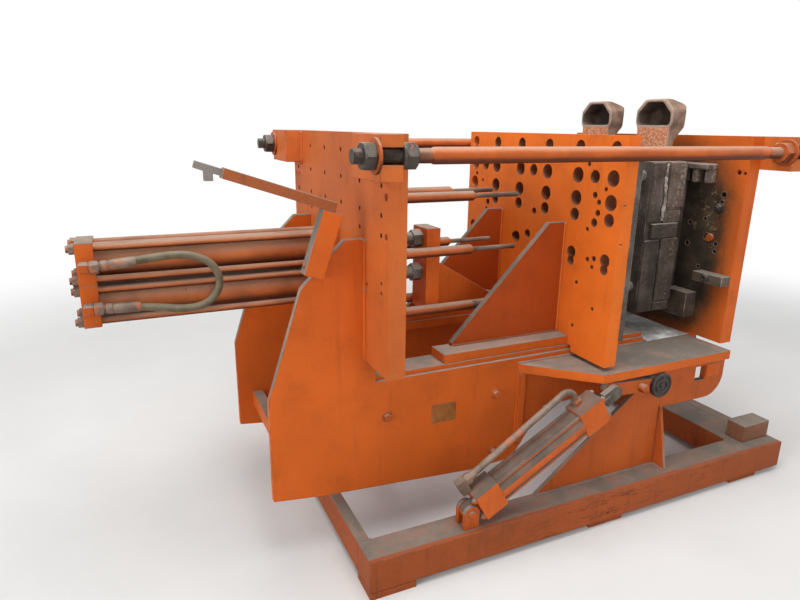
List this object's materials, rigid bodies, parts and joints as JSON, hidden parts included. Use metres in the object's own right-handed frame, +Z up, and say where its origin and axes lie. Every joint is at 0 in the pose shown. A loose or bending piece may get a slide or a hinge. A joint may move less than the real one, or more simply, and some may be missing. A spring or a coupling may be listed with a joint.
{
  "type": "tilting permanent-mould casting machine",
  "caption": "Hydraulic casting machine: a moving and a fixed platen hold a metal mould with pouring cups, on a frame that two cylinders tilt about a shaft in a floor skid.",
  "frame": {"origin": "on the floor, under the middle of the base skid", "axes": "+X along the machine from the clamp cylinders to the fixed platen, +Z up, -Y the front side"},
  "size_m": [2.736, 1.2508, 1.59],
  "materials": {
    "orange_paint": "worn paint",
    "steel": "dull, dusty",
    "mould_iron": "burnt",
    "stop_paint": "dusty",
    "hose": "matt"
  },
  "bodies": {
    "base": {"near_rail": "orange_paint", "far_rail": "orange_paint", "left_cross_member": "orange_paint", "right_cross_member": "orange_paint", "end_channel": "orange_paint", "foot_pads": "orange_paint", "near_upright": "orange_paint", "far_upright": "orange_paint", "stop_blocks": "stop_paint", "cylinder_clevises": "orange_paint"},
    "tilt_frame": {"near_side_plate": "orange_paint", "far_side_plate": "orange_paint", "ways": "orange_paint", "frame_tie_bars": "orange_paint", "near_shelf": "orange_paint", "far_shelf": "orange_paint", "shelf_ribs": "orange_paint", "hanging_plates": "orange_paint", "cover_sheet": "steel", "near_pivot_lever": "orange_paint", "far_pivot_lever": "orange_paint", "left_platen": "orange_paint", "right_platen": "orange_paint", "platen_brackets": "orange_paint", "tie_lugs": "orange_paint", "tie_rods": "steel", "tie_nuts": "steel", "upper_clamp_cylinder": "orange_paint", "lower_clamp_cylinder": "orange_paint", "clamp_hose": "hose", "bumper_rods": "steel", "fixed_mould_half": "mould_iron", "mould_risers": "mould_iron", "pouring_cups": "mould_iron", "arm_bracket": "orange_paint", "side_arm": "orange_paint"},
    "moving_platen_group": {"moving_platen": "orange_paint", "slide_feet": "orange_paint", "platen_gussets": "orange_paint", "crosshead_bar": "orange_paint", "crosshead_web": "orange_paint", "clamp_piston_rods": "steel", "backing_plate": "steel", "mould_pillars": "steel", "moving_mould_half": "mould_iron"},
    "near_cylinder": {"near_tilt_cylinder": "orange_paint", "near_cylinder_pipe": "steel"},
    "near_rod": {"near_tilt_rod": "steel"},
    "far_cylinder": {"far_tilt_cylinder": "orange_paint", "far_cylinder_pipe": "steel"},
    "far_rod": {"far_tilt_rod": "steel"}
  },
  "joints": [
    {"name": "frame_tilt", "type": "hinge", "parent": "base", "child": "tilt_frame", "pos_m": [0.255, 0, 0.515], "axis": [0, 1, 0], "range_deg": [0, 72]},
    {"name": "platen_slide", "type": "slide", "parent": "tilt_frame", "child": "moving_platen_group", "axis": [-1, 0, 0], "range_m": [0, 0.22]},
    {"name": "near_cylinder_swing", "type": "hinge", "parent": "base", "child": "near_cylinder", "pos_m": [-0.603, -0.551, 0.2], "axis": [0, -1, 0], "range_deg": [0, 6.24]},
    {"name": "near_rod_slide", "type": "slide", "parent": "near_cylinder", "child": "near_rod", "axis": [0.8777, 0, 0.4792], "range_m": [0, 0.2783]},
    {"name": "far_cylinder_swing", "type": "hinge", "parent": "base", "child": "far_cylinder", "pos_m": [-0.603, 0.551, 0.2], "axis": [0, -1, 0], "range_deg": [0, 6.24]},
    {"name": "far_rod_slide", "type": "slide", "parent": "far_cylinder", "child": "far_rod", "axis": [0.8777, 0, 0.4792], "range_m": [0, 0.2783]}
  ],
  "couplings": [
    {"joint": "near_cylinder_swing", "follows": "frame_tilt", "ratio": 0.086675},
    {"joint": "near_rod_slide", "follows": "frame_tilt", "m_per_rad": 0.22143},
    {"joint": "far_cylinder_swing", "follows": "frame_tilt", "ratio": 0.086675},
    {"joint": "far_rod_slide", "follows": "frame_tilt", "m_per_rad": 0.22143}
  ]
}
